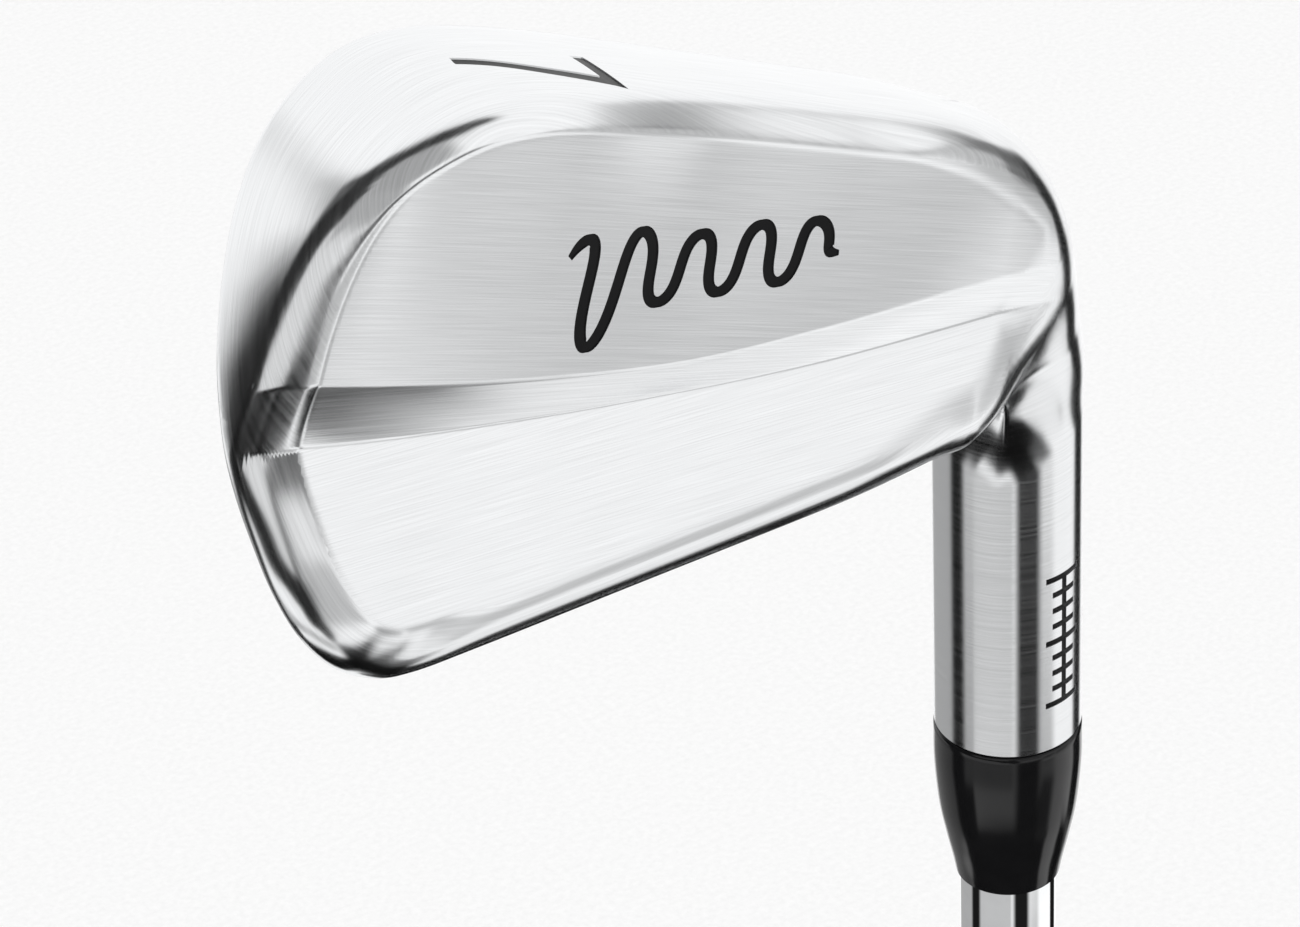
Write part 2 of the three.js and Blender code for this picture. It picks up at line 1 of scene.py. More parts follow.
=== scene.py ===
"""Right-handed muscle-back 7-iron standing on the butt of its grip.

The head is worked out in millimetres about the ground point, where the shaft
axis meets the ground in play. In the part's frame that point is at
(0, 0, CLUB_LENGTH). Face-plane coordinates: p runs from the heel to the toe,
q up the face, d backwards from the face.

head_field is negative inside the head and positive outside. From the toe to the
neck, the head's mesh is made of rings of points cast out to where the field is
zero. The hosel and its bore are plain round rings.
"""
import math

import bmesh
import bpy
import numpy as np
from mathutils import Matrix, Vector


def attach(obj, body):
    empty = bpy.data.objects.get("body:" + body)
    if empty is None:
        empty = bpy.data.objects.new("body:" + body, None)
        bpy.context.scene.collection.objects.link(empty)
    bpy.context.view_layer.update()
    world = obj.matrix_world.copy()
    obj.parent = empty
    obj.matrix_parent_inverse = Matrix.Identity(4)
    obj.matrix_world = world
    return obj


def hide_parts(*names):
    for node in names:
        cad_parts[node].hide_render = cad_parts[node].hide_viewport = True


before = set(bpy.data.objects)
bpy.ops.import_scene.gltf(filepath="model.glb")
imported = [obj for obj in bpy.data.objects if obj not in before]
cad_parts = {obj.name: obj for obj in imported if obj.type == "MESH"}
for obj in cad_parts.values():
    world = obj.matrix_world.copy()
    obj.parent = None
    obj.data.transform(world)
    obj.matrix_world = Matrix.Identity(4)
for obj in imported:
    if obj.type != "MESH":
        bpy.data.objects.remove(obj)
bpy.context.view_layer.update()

# ---- sizes, in millimetres ---------------------------------------------------
CLUB_LENGTH = 939.8
LIE = math.radians(64.5)
LOFT = math.radians(34.2)
LEAD_Y = 4.5
LEAD_Z = 1.9
HOSEL_R = 6.75
HOSEL_END = 65.0
HOSEL_CAP_Z = -20.0
HOSEL_CAP_RISE = 13.0
BORE_R = 4.8
BORE_DEPTH = 34.0
MOUTH_EDGE = 0.25
BORE_EDGE = 0.2

# Lean of the sole wall, which fades out up the face between two heights.
SOLE_SLOPE = 0.60
SOLE_LEAN_Q = (8, 30)
# The chamfered band round the back: its width, its width at the topline, its bow.
BAND = 2.35
TOP_BAND = 1.2
BAND_BOW = 0.12
DIAGONAL = 0.70711
# Curve and flare of the wall, at the toe and at the sole.
TOE_CAMBER = (2.0, 1.0)
SOLE_CAMBER = (2.5, 2.2)
TOPLINE_Q = 29.7
TOPLINE_RISE = 0.34
THIN_DEPTH = 4.4
THIN_TAPER = 0.04

HEEL_TURN = math.radians(35)
HEEL_WIDE = 11.6
HEEL_HIGH = 24.7
HEEL_INSET = 9.6
HEEL_TILT = 0.6
HEEL_Z = -25.0

GROOVE_START_Q = 4.2
GROOVE_PITCH = 3.6
GROOVE_WIDTH = 0.9
GROOVE_DEPTH = 0.5
GROOVE_COUNT = 12
GROOVE_HEEL_P = 17
GROOVE_TOE_P = 66
# Above this height a score line starts later, so that it keeps clear of the topline.
GROOVE_TRIM_Q = 25.7

MARK_DEPTH = 0.6
SCALE_DEPTH = 0.4
FILL_TOP = 0.12
FILL_GAP = 0.02
FILL_INSET = 0.03

SHAFT_TIP_R = 4.45
SHAFT_BUTT_R = 7.62
SHAFT_TIP_WALL = 1.1
SHAFT_BUTT_WALL = 0.65
SHAFT_START = 4.0
SHAFT_TOP_GAP = 2
SHAFT_TIP_LENGTH = 205
SHAFT_STEPS = 14
SHAFT_STEPS_FROM = 300
SHAFT_STEP_LENGTH = 1.2
FERRULE_GAP = 0.06

# The blend of blade and hosel, what is added to it and taken from it between two
# heights, and the trim that fades in at the heel.
NECK_BLEND = 8
NECK_WIDENS = (6, -16, -28)
NECK_TIGHTENS = (5, -28, -42)
HEEL_TRIM = (2.4, -20, -32)

SIN_LIE, COS_LIE = math.sin(LIE), math.cos(LIE)
SIN_LOFT, COS_LOFT = math.sin(LOFT), math.cos(LOFT)

# The rim of the face in (p, q), from the heel along the sole, round the toe and back
# along the topline.
OUTLINE = np.array([
    (-6.6, 6.2), (-4.6, 3.4), (-1.5, 1.9), (3, 0.65), (8, -0.15), (13, -0.55),
    (20, -0.6), (35, -0.65), (48, -0.6), (56, -0.2), (61, 0.5), (65.5, 1.9), (69, 3.9),
    (72, 6.5), (74.5, 9.4), (76.5, 12.7), (78.2, 17), (79.4, 21.8), (80.1, 26.6),
    (80.25, 30.5), (79.9, 35), (79, 38.6), (77.6, 42.2), (75.9, 45.8), (73.6, 49),
    (70.6, 51.2), (67.2, 51.9), (63.8, 51.4), (57, 49.2), (40, 43.4), (20, 36.6),
    (8, 32.3), (2.5, 30.4), (-2, 26), (-5.5, 18), (-7, 10),
], float)
# Lines of the back, given at knots along p: the top and foot of the step, the depth at
# its top, and the height and depth of the sole's trailing edge.
KNOT_START = -8
KNOT_STEP = 16
STEP_TOP = np.array([14, 18.4, 22.9, 26.9, 29.4, 31, 31.7])
STEP_FOOT = np.array([17, 21.4, 25.6, 29.1, 32.3, 35, 36.8])
STEP_D = np.array([6.3, 6.8, 7.1, 7.5, 7.8, 8, 8])
SOLE_Q = np.array([11, 7.2, 6.7, 7.5, 9.3, 14, 24])
SOLE_D = np.array([8.2, 12.3, 13.1, 14.2, 17.2, 17, 11])


# ---- small maths --------------------------------------------------------------
def smooth(low, high, x):
    t = np.clip((np.asarray(x, float) - low) / (high - low), 0, 1)
    return t * t * (3 - 2 * t)


def fade_in(x, amount, low, high):
    return amount * smooth(low, high, x)


def soft_max(a, b, k):
    """The larger of two fields, blended where they differ by less than k."""
    h = np.maximum(k - np.abs(a - b), 0) / k
    return np.maximum(a, b) + h * h * k * 0.25


def soft_min(a, b, k):
    return -soft_max(-a, -b, k)


def hermite(t, a, b, ma, mb):
    t2 = t * t
    t3 = t2 * t
    values = (2 * t3 - 3 * t2 + 1) * a + (t3 - 2 * t2 + t) * ma
    return values + (3 * t2 - 2 * t3) * b + (t3 - t2) * mb


def closed_curve(points, n):
    """A smooth closed curve through the points, with n pieces between neighbours."""
    before, after = np.roll(points, 1, 0), np.roll(points, -1, 0)
    slope = (after - before) / 2
    rows = [hermite(k / n, points, after, slope, np.roll(slope, -1, 0)) for k in range(n)]
    return np.stack(rows, 1).reshape(-1, 2)


def along(values, p):
    """A smooth curve through values at the knots, read at p."""
    x = np.clip((np.asarray(p, float) - KNOT_START) / KNOT_STEP, 0, len(values) - 1.0001)
    i = np.floor(x).astype(int)
    slope = np.gradient(values.astype(float))
    return hermite(x - i, values[i], values[i + 1], slope[i], slope[i + 1])


# ---- head: the field whose zero is the surface -----------------------------------
RIM = closed_curve(OUTLINE, 8)
RIM_STEP = np.roll(RIM, -1, 0) - RIM
RIM_LENGTH = np.hypot(*RIM_STEP.T)
RIM_START = np.cumsum(RIM_LENGTH) - RIM_LENGTH
CHART_LOW = np.array([-14.0, -34.0])
CHART_STEP = 0.5
CHART_SIZE = (204, 200)


def segment_gap(p, q, i):
    """Squared distance to segment i of the rim, the place along it, and the side."""
    x, y = p - RIM[i, 0], q - RIM[i, 1]
    ex, ey = RIM_STEP[i, 0], RIM_STEP[i, 1]
    t = np.clip((x * ex + y * ey) / RIM_LENGTH[i] ** 2, 0, 1)
    return (x - t * ex) ** 2 + (y - t * ey) ** 2, t, ex * y - ey * x


def nearest_chart():
    """The nearest rim segment at each point of a coarse grid."""
    p = CHART_LOW[0] + CHART_STEP * np.arange(CHART_SIZE[0])
    q = CHART_LOW[1] + CHART_STEP * np.arange(CHART_SIZE[1])
    grid_p, grid_q = np.meshgrid(p, q, indexing="ij")
    every = np.arange(len(RIM))
    gap = segment_gap(grid_p[..., None], grid_q[..., None], every)[0]
    return gap.argmin(-1)


CHART = nearest_chart()


def rim_measure(p, q):
    """Signed distance to the rim, and how far round the rim the nearest point is."""
    p, q = np.broadcast_arrays(np.asarray(p, float), np.asarray(q, float))
    col = np.clip(np.round((p - CHART_LOW[0]) / CHART_STEP), 0, CHART_SIZE[0] - 1).astype(int)
    row = np.clip(np.round((q - CHART_LOW[1]) / CHART_STEP), 0, CHART_SIZE[1] - 1).astype(int)
    middle = CHART[col, row]
    best, place, side = np.full(p.shape, np.inf), np.zeros(p.shape), np.zeros(p.shape)
    for shift in range(-3, 4):
        i = (middle + shift) % len(RIM)
        gap, t, cross = segment_gap(p, q, i)
        closer = gap < best
        best = np.where(closer, gap, best)
        place = np.where(closer, RIM_START[i] + t * RIM_LENGTH[i], place)
        side = np.where(closer, cross, side)
    return np.sqrt(best) * np.where(side > 0, -1, 1), place


def topline(p):
    return TOPLINE_Q + TOPLINE_RISE * p


def sole_lean(q):
    return SOLE_SLOPE * (1 - smooth(*SOLE_LEAN_Q, q))


def back_depth(p, q):
    """Depth of the back behind the face: the muscle, then the step, then the thin part."""
    top, foot, sole = along(STEP_TOP, p), along(STEP_FOOT, p), along(SOLE_Q, p)
    at_step = along(STEP_D, p)
    rise = (along(SOLE_D, p) - at_step) * (top - q) / (top - sole)
    muscle = at_step + np.where(q > top, 0.3 * rise, rise)
    thin = THIN_DEPTH + THIN_TAPER * np.maximum(topline(p) - q, 0) - 0.5 * smooth(50, 80, p)
    t = np.clip((q - top) / (foot - top), 0, 1)
    return muscle * (1 - t) + thin * t


def blade_sides(p, q, d):
    """Distance past the rim, the back and the chamfer between them."""
    lean = sole_lean(q)
    rim = rim_measure(p, q - np.maximum(d, 0) * lean)[0]
    depth = back_depth(p, q)
    low_down = lean / SOLE_SLOPE
    curve = TOE_CAMBER[0] + (SOLE_CAMBER[0] - TOE_CAMBER[0]) * low_down
    flare = TOE_CAMBER[1] + (SOLE_CAMBER[1] - TOE_CAMBER[1]) * low_down
    t = np.clip(d / depth, 0, 1)
    rim = rim + (curve * t - flare) * t
    back = (d - depth) * 0.9
    below = (topline(p) - q) * 0.94 + smooth(55, 78, p) * 6
    band = TOP_BAND + (BAND - TOP_BAND) * smooth(0.5, 5, below)
    bow = BAND_BOW * np.maximum(1 - ((rim - back) / band) ** 2, 0)
    return rim, back, (rim + back + band) * DIAGONAL - bow * band / BAND


def blade_field(p, q, d):
    rim, back, chamfer = blade_sides(p, q, d)
    heel = 3 * (1 - smooth(0, 20, p))
    edged = soft_max(soft_max(rim, chamfer, 0.9 + heel), back, 0.35 + heel)
    return soft_max(edged, -d, 0.5)


def face_plane(points):
    """Points about the ground point to (p, q, d)."""
    x, y, z = points[..., 0], points[..., 1], points[..., 2]
    up = -COS_LIE * x - SIN_LIE * z - LEAD_Z
    fore = y - LEAD_Y
    p = -SIN_LIE * x + COS_LIE * z
    return p, up * COS_LOFT - fore * SIN_LOFT, -fore * COS_LOFT - up * SIN_LOFT


def placed(p, q, d):
    """(p, q, d) to points about the ground point."""
    p, q, d = np.broadcast_arrays(*(np.asarray(v, float) for v in (p, q, d)))
    up = LEAD_Z + q * COS_LOFT - d * SIN_LOFT
    x = -SIN_LIE * p - COS_LIE * up
    y = LEAD_Y - q * SIN_LOFT - d * COS_LOFT
    return np.stack([x, y, COS_LIE * p - SIN_LIE * up], -1)


def heel_corner(x, y, z):
    """Distance past the outer side of the heel, which leans in as it rises."""
    forward = x * math.sin(HEEL_TURN) + y * math.cos(HEEL_TURN)
    rise = np.clip((z + HEEL_TILT * forward - HEEL_Z) / HEEL_HIGH, 0, 1)
    inset = soft_min(HEEL_WIDE * (1 - np.sqrt(1 - rise ** 2)), HEEL_INSET, 4)
    return x * math.cos(HEEL_TURN) - y * math.sin(HEEL_TURN) - HOSEL_R + inset


def hosel_field(x, y, z):
    cap = np.maximum(z - HOSEL_CAP_Z, 0) * HOSEL_R / HOSEL_CAP_RISE
    return np.hypot(np.hypot(x, y), cap) - HOSEL_R


def head_field(points):
    """Blade and hosel, blended most in the neck, and trimmed at the heel."""
    x, y, z = points[..., 0], points[..., 1], points[..., 2]
    hosel = hosel_field(x, y, z)
    heel = heel_corner(x, y, z)
    blade = soft_max(blade_field(*face_plane(points)), heel, 4)
    neck = NECK_BLEND + fade_in(z, *NECK_WIDENS) - fade_in(z, *NECK_TIGHTENS)
    joined = soft_min(blade, hosel, neck)
    return soft_max(joined, heel - fade_in(z, *HEEL_TRIM), 2)


# ---- head: rings of points on the surface ------------------------------------------
# The stretches of a ring round the blade, with the number of points in each.
PARTS = [
    ("lead", 8), ("wall", 34), ("band", 16), ("muscle", 40), ("step", 18),
    ("thin", 40), ("bevel", 14), ("top", 16), ("face", 60),
]
RING = sum(count for _, count in PARTS)
BLADE_RINGS = 150
NECK_RINGS = 90
NECK_P = 4.0
TOE_P = 80.2
TOE_CROWDING = 1.6
TOE_CORE = (74.0, 30.5, 5.5)
TOE_SHARES = (0.03, 0.15, 0.35, 0.55, 0.75, 0.9)
NECK_Z = -40.0


def cast_out(start, direction, reach):
    """From inside the head along a direction to the surface, near the given reach."""
    low, high = 0.45 * reach, 1.7 * reach + 1.5
    for _ in range(17):
        middle = (low + high) / 2
        outside = head_field(start + direction * middle[..., None]) > 0
        low = np.where(outside, low, middle)
        high = np.where(outside, middle, high)
    return start + direction * low[..., None]


def rim_span(p):
    """Lowest and highest q inside the rim at p."""
    q = np.arange(-1, 52.5, 0.01)
    inside = q[rim_measure(np.full(q.shape, p), q)[0] < 0]
    return inside[0], inside[-1]


def spread(a, b, n, crowded=True):
    """n places from a towards b, closer together at the ends when crowded."""
    t = np.arange(n) / n
    if crowded:
        t = 0.5 * t + 0.25 * (1 - np.cos(math.pi * t))
    return np.array(a, float) + (np.array(b, float) - np.array(a, float)) * t[:, None]


def section_targets(p, low, high):
    """Places in (q, d) on one section, denser where the surface turns."""
    margin = 0.05 * (high - low)

    def inside(q):
        return float(np.clip(q, low + margin, high - margin))

    def back(q, cut=0):
        return q, float(back_depth(p, q)) - cut

    trail = inside(along(SOLE_Q, p))
    crease = back(trail, BAND / 0.9)
    inner = inside(trail + 1.7)
    top = inside(along(STEP_TOP, p))
    foot = inside(along(STEP_FOOT, p))
    bevel = max(high - 2.2, foot + 0.1)
    corners = [
        (low + 0.9, 0), (low, 0.8), crease, back(inner), back(top), back(foot), back(bevel),
        back(high, 1),
    ]
    counts = [count for _, count in PARTS]
    rows = [spread(corners[i], corners[i + 1], counts[i]) for i in range(7)]
    rows.append(spread(corners[7], (high, 0.6), 8))
    rows.append(spread((high, 0.6), (high - 0.9, 0), 8))
    rows.append(spread((high - 0.9, 0), corners[0], counts[8], crowded=False))
    return np.concatenate(rows)


def section_core(low, high):
    return low + 0.55 * (high - low), 2.2


def blade_rings(stations):
    cores, targets = [], []
    for p in stations:
        low, high = rim_span(p)
        cores.append(placed(p, *section_core(low, high)))
        targets.append(placed(p, *section_targets(p, low, high).T))
    cores, targets = np.array(cores)[:, None, :], np.array(targets)
    direction = targets - cores
    reach = np.linalg.norm(direction, axis=-1)
    return cast_out(cores, direction / reach[..., None], reach)


def toe_rings(first):
    """Rings that close the toe, shrinking towards the middle of the first blade ring."""
    core = placed(*TOE_CORE)
    tip = first.mean(0)
    shares = np.array(TOE_SHARES)[:, None, None]
    direction = tip + (first - tip) * shares - core
    reach = np.linalg.norm(direction, axis=-1)
    return cast_out(core, direction / reach[..., None], reach)


def hosel_angles():
    """Where round the hosel each point of a ring ends, in radians."""
    ends = np.cumsum([0] + [count for _, count in PARTS])
    marks = [0, ends[2], ends[7] + 8, ends[8], RING]
    return np.radians(np.interp(np.arange(RING), marks, [-20, 62, 185, 215, 340]))


def neck_rings(start, core):
    """Rings in planes that turn about a line beside the neck, from the blade to the hosel."""
    pivot = np.array([(COS_LIE * NECK_Z - NECK_P) / SIN_LIE, 0, NECK_Z])
    reach0 = np.linalg.norm((core - pivot)[[0, 2]])
    reach1 = -pivot[0]
    first = np.array([COS_LIE, 0, SIN_LIE])
    sideways = np.array([0, 1, 0])
    from_core = start - core
    angle0 = np.arctan2(from_core[:, 1], from_core @ first)
    angle1 = -hosel_angles()
    turn = (angle1 - angle0 + math.pi) % (2 * math.pi) - math.pi
    size0 = np.linalg.norm(from_core, axis=-1)
    centres, directions, reaches = [], [], []
    for t in (np.arange(NECK_RINGS) + 1) / (NECK_RINGS + 1):
        blend = smooth(0, 1, t)
        tilt = LIE * (1 - t)
        out = np.array([math.cos(tilt), 0, math.sin(tilt)])
        centre = pivot + out * (reach0 * (1 - blend) + reach1 * blend)
        centre[1] = core[1] * (1 - blend)
        angle = angle0 + turn * blend
        directions.append(np.cos(angle)[:, None] * out + np.sin(angle)[:, None] * sideways)
        centres.append(np.broadcast_to(centre, start.shape))
        reaches.append(size0 * (1 - blend) + HOSEL_R * blend)
    return cast_out(np.array(centres), np.array(directions), np.array(reaches))


def hosel_ring(z, r):
    """A level ring about the shaft's axis."""
    a = hosel_angles()
    return np.stack([r * np.cos(a), -r * np.sin(a), np.full(RING, z)], -1)


def head_rings():
    """Every ring of the head, from the tip of the toe to the bottom of the bore."""
    u = (np.arange(BLADE_RINGS) + 0.5) / BLADE_RINGS
    stations = np.append(TOE_P - (TOE_P - NECK_P) * u ** TOE_CROWDING, NECK_P)
    blade = blade_rings(stations)
    core = placed(NECK_P, *section_core(*rim_span(NECK_P)))
    neck = neck_rings(blade[-1], core)
    mouth = -HOSEL_END
    hosel = [
        hosel_ring(NECK_Z, HOSEL_R),
        hosel_ring(-50, HOSEL_R),
        hosel_ring(mouth + MOUTH_EDGE, HOSEL_R),
        hosel_ring(mouth, HOSEL_R - MOUTH_EDGE),
        hosel_ring(mouth, BORE_R + BORE_EDGE),
        hosel_ring(mouth + BORE_EDGE, BORE_R),
        hosel_ring(mouth + BORE_DEPTH, BORE_R),
    ]
    return np.concatenate([toe_rings(blade[0]), blade, neck, np.array(hosel)])


# ---- meshes -------------------------------------------------------------------------
def to_part(points):
    """Millimetres about the ground point to metres in the part's frame."""
    return (np.asarray(points, float) + [0, 0, CLUB_LENGTH]) / 1000


def grid_faces(rows, cols):
    """Quads between rings of points, each ring closed on itself."""
    r, c = np.meshgrid(np.arange(rows - 1), np.arange(cols), indexing="ij")
    after = (c + 1) % cols
    quads = [r * cols + c, r * cols + after, (r + 1) * cols + after, (r + 1) * cols + c]
    return np.stack(quads, -1).reshape(-1, 4).tolist()


def new_object(name, points, faces, materials):
    mesh = bpy.data.meshes.new(name)
    mesh.from_pydata(np.asarray(points).tolist(), [], faces)
    for material in materials:
        mesh.materials.append(material)
    obj = bpy.data.objects.new(name, mesh)
    bpy.context.scene.collection.objects.link(obj)
    return obj


def shade(obj, angle=35):
    obj.data.shade_smooth()
    obj.data.set_sharp_from_angle(angle=math.radians(angle))


def outward(obj):
    work = bmesh.new()
    work.from_mesh(obj.data)
    bmesh.ops.recalc_face_normals(work, faces=work.faces)
    work.to_mesh(obj.data)
    work.free()


def mesh_points(mesh):
    """The vertices of a head mesh in millimetres about the ground point."""
    points = np.empty(len(mesh.vertices) * 3)
    mesh.vertices.foreach_get("co", points)
    return points.reshape(-1, 3) * 1000 - [0, 0, CLUB_LENGTH]


def corner_facts(mesh):
    """The finish and the vertex of every corner of a mesh."""
    finish = np.empty(len(mesh.polygons), int)
    mesh.polygons.foreach_get("material_index", finish)
    totals = np.empty(len(mesh.polygons), int)
    mesh.polygons.foreach_get("loop_total", totals)
    vertex = np.empty(len(mesh.loops), int)
    mesh.loops.foreach_get("vertex_index", vertex)
    return np.repeat(finish, totals), vertex


def cut_away(obj, tool):
    """Take the tool's volume out of the object and remove the tool."""
    modifier = obj.modifiers.new("cut", "BOOLEAN")
    modifier.operation = "DIFFERENCE"
    modifier.solver = "MANIFOLD"
    modifier.object = tool
    graph = bpy.context.evaluated_depsgraph_get()
    cut = bpy.data.meshes.new_from_object(obj.evaluated_get(graph))
    obj.modifiers.clear()
    obj.data = cut
    bpy.data.objects.remove(tool)


# ---- marks ---------------------------------------------------------------------------
MARK_CENTRE = (39.5, 19.4)
MARK_TURN = math.radians(191.5)
MARK_LENGTH = 31
MARK_SLANT = 0.3
WAVES = 4.6
SCALE_Z = -53.0
SCALE_TURN = math.radians(-79)
SCALE_TICKS = 9
SCALE_PITCH = 1.7


def wave_centre(t):
    """Middle of the pen stroke, with t from 0 to 1 along the mark."""
    turn = 2 * math.pi * (WAVES * t - 0.12)
    height = 2.3 + 2.5 * np.exp(-((t - 0.135) / 0.1) ** 2) - 1.5 * smooth(0.84, 1, t)
    y = height * np.cos(turn)
    sway = (MARK_LENGTH / WAVES) * 0.06 * np.sin(2 * turn)
    x = MARK_LENGTH * (t - 0.5) + sway + MARK_SLANT * y
    return np.stack([x, y], -1)


def flourish(inset=0.0):
    """Edge points in (p, q) of a pen wave: one tall swing, shorter ones and a tail."""
    t = np.linspace(0, 1, 321)
    slope = wave_centre(t + 0.002) - wave_centre(t - 0.002)
    slope /= np.linalg.norm(slope, axis=1, keepdims=True)
    full = 0.8 + 0.45 * np.abs(slope[:, 1])
    half = full * 0.5 * smooth(-0.03, 0.03, t) * smooth(1.03, 0.97, t)
    half = np.maximum(half - inset, 0.1)
    side = np.stack([-slope[:, 1], slope[:, 0]], -1) * half[:, None]
    turn = np.array([
        [math.cos(MARK_TURN), math.sin(MARK_TURN)], [-math.sin(MARK_TURN), math.cos(MARK_TURN)],
    ])
    return [(wave_centre(t) + k * side) @ turn + MARK_CENTRE for k in (-1, 1)]


def seven(g=0.0):
    """Edge points in (p, d) of the figure on the sole, drawn in by g on every side."""
    corners = np.array([
        (48.6 + 1.05 * g, 6.9 + g, 7.1 + g),
        (48.9 + g, 6.9 + g, 12.7 - 1.4 * g),
        (49.9 - g, 6.9 + g, 12.38 - 1.05 * g),
        (50.2 - 0.9 * g, 10.8 + 1.3 * g, 12.3 - 1.05 * g),
        (62.2 - 0.64 * g, 7.2 + 1.2 * g, 8.5 - 1.05 * g),
        (62.5 - 1.3 * g, 8.15 - 0.75 * g, 8.4 - 0.65 * g),
    ])
    at = np.arange(len(corners))
    fine = np.linspace(0, len(corners) - 1, 101)
    p, low, high = (np.interp(fine, at, corners[:, k]) for k in range(3))
    bow = 0.45 * np.sin(math.pi * np.clip((p - 50) / 12.4, 0, 1))
    return np.stack([p, low + bow], -1), np.stack([p, high + bow], -1)


def hosel_scale():
    """Edge points in (arc, z) of a short ruled scale."""
    rows = []
    for i in range(SCALE_TICKS):
        half = 2.1 if i % 4 == 0 else 1.4
        middle = SCALE_PITCH * (i - (SCALE_TICKS - 1) / 2)
        rows += [(middle - 0.31, 0.3), (middle - 0.3, half)]
        rows += [(middle + 0.3, half), (middle + 0.31, 0.3)]
    z, half = np.array(rows[1:-1]).T
    return np.stack([-half, z], -1), np.stack([half, z], -1)


def on_muscle(points, sink):
    p, q = points.T
    return placed(p, q, back_depth(p, q) - sink)


def on_sole(points, sink):
    p, d = points.T
    inside, outside = np.full(p.shape, 12.0), np.full(p.shape, -12.0)
    for _ in range(30):
        q = (inside + outside) / 2
        held = blade_field(p, q, d) < 0
        inside, outside = np.where(held, q, inside), np.where(held, outside, q)
    return placed(p, inside + sink, d)


def on_hosel(points, sink):
    arc, z = points.T
    a = SCALE_TURN + arc / HOSEL_R
    r = HOSEL_R - sink
    return np.stack([r * np.cos(a), r * np.sin(a), SCALE_Z + z], -1)


def prism_faces(rows, cols):
    """Quads between rings of points, and a face over each end."""
    start = (rows - 1) * cols
    ends = [list(range(cols))[::-1], [start + i for i in range(cols)]]
    return grid_faces(rows, cols) + ends


def bar(edges, place, low, high, columns=1):
    """A closed solid over a drawn strip, from one depth below a surface to another."""
    left, right = edges
    share = np.linspace(0, 1, columns + 1)
    across = [left + (right - left) * t for t in share]
    loop = [place(line, low) for line in across] + [place(line, high) for line in across[::-1]]
    points = np.stack(loop, 1)
    return points.reshape(-1, 3), prism_faces(*points.shape[:2])


def groove(q):
    """Solid that cuts one score line, which stops short of the topline."""
    heel = max(GROOVE_HEEL_P, (q - GROOVE_TRIM_Q) / TOPLINE_RISE)
    half = GROOVE_WIDTH / 2
    shape = [
        (-half, -1), (half, -1), (half, 0), (half / 2, GROOVE_DEPTH), (-half / 2, GROOVE_DEPTH),
        (-half, 0),
    ]
    points = [placed(p, q + a, b) for p in (heel, GROOVE_TOE_P) for a, b in shape]
    return np.array(points), prism_faces(2, len(shape))


def cutter():
    """Points and faces of everything that is cut into the head."""
    solids = [groove(GROOVE_START_Q + GROOVE_PITCH * i) for i in range(GROOVE_COUNT)]
    solids.append(bar(flourish(), on_muscle, MARK_DEPTH, -1))
    solids.append(bar(seven(), on_sole, MARK_DEPTH, -2, 3))
    solids.append(bar(hosel_scale(), on_hosel, SCALE_DEPTH, -1, 8))
    points, faces = [], []
    for part_points, part_faces in solids:
        start = sum(len(p) for p in points)
        points.append(part_points)
        faces += [[start + i for i in face] for face in part_faces]
    return np.concatenate(points), faces


# ---- shaders ---------------------------------------------------------------------------
NOISE_ROUGHNESS = 0.55
NOISE_RANGE = (0.3, 0.7)
TONE_CHANGE = 0.06
# Strength and height of the brush lines, and height of the rubber's grain, in metres.
LINE_BUMP = 0.15
LINE_HEIGHT = 0.000012
RUBBER_HEIGHT = 0.0002


class Nodes:
    """A material's node tree, with short calls for the nodes that are used often."""

    def __init__(self, name):
        self.material = bpy.data.materials.new(name)
        self.material.use_nodes = True
        self.tree = self.material.node_tree
        self.shader = self.tree.nodes["Principled BSDF"]

    def set(self, **values):
        for key, value in values.items():
            self.shader.inputs[key.replace("_", " ")].default_value = value
        return self

    def link(self, source, target):
        self.tree.links.new(source, target)

    def node(self, kind, **settings):
        node = self.tree.nodes.new(kind)
        for key, value in settings.items():
            setattr(node, key, value)
        return node

    def coordinates(self, scale, attribute=None):
        mapping = self.node("ShaderNodeMapping")
        mapping.inputs["Scale"].default_value = scale
        if attribute:
            source = self.node("ShaderNodeUVMap", uv_map=attribute).outputs["UV"]
        else:
            source = self.node("ShaderNodeTexCoord").outputs["Object"]
        self.link(source, mapping.inputs["Vector"])
        return mapping.outputs["Vector"]

    def noise(self, vector, scale=1.0, detail=3.0):
        noise = self.node("ShaderNodeTexNoise")
        self.link(vector, noise.inputs["Vector"])
        noise.inputs["Scale"].default_value = scale
        noise.inputs["Detail"].default_value = detail
        noise.inputs["Roughness"].default_value = NOISE_ROUGHNESS
        return noise.outputs["Fac"]

    def spread(self, noise, low, high):
        """The usual range of the noise stretched to run from low to high."""
        ramp = self.node("ShaderNodeMapRange")
        self.link(noise, ramp.inputs["Value"])
        start, end = NOISE_RANGE
        bounds = {"From Min": start, "From Max": end, "To Min": low, "To Max": high}
        for key, number in bounds.items():
            ramp.inputs[key].default_value = number
        return ramp.outputs["Result"]

    def blend(self, amount, low, high):
        """A mix of two colours, which are sockets 6 and 7 of the node."""
        mix = self.node("ShaderNodeMix", data_type="RGBA")
        self.link(amount, mix.inputs["Factor"])
        mix.inputs[6].default_value = (*low, 1)
        mix.inputs[7].default_value = (*high, 1)
        return mix.outputs[2]

    def bump(self, height, strength, distance):
        bump = self.node("ShaderNodeBump")
        bump.inputs["Strength"].default_value = strength
        bump.inputs["Distance"].default_value = distance
        self.link(height, bump.inputs["Height"])
        self.link(bump.outputs["Normal"], self.shader.inputs["Normal"])


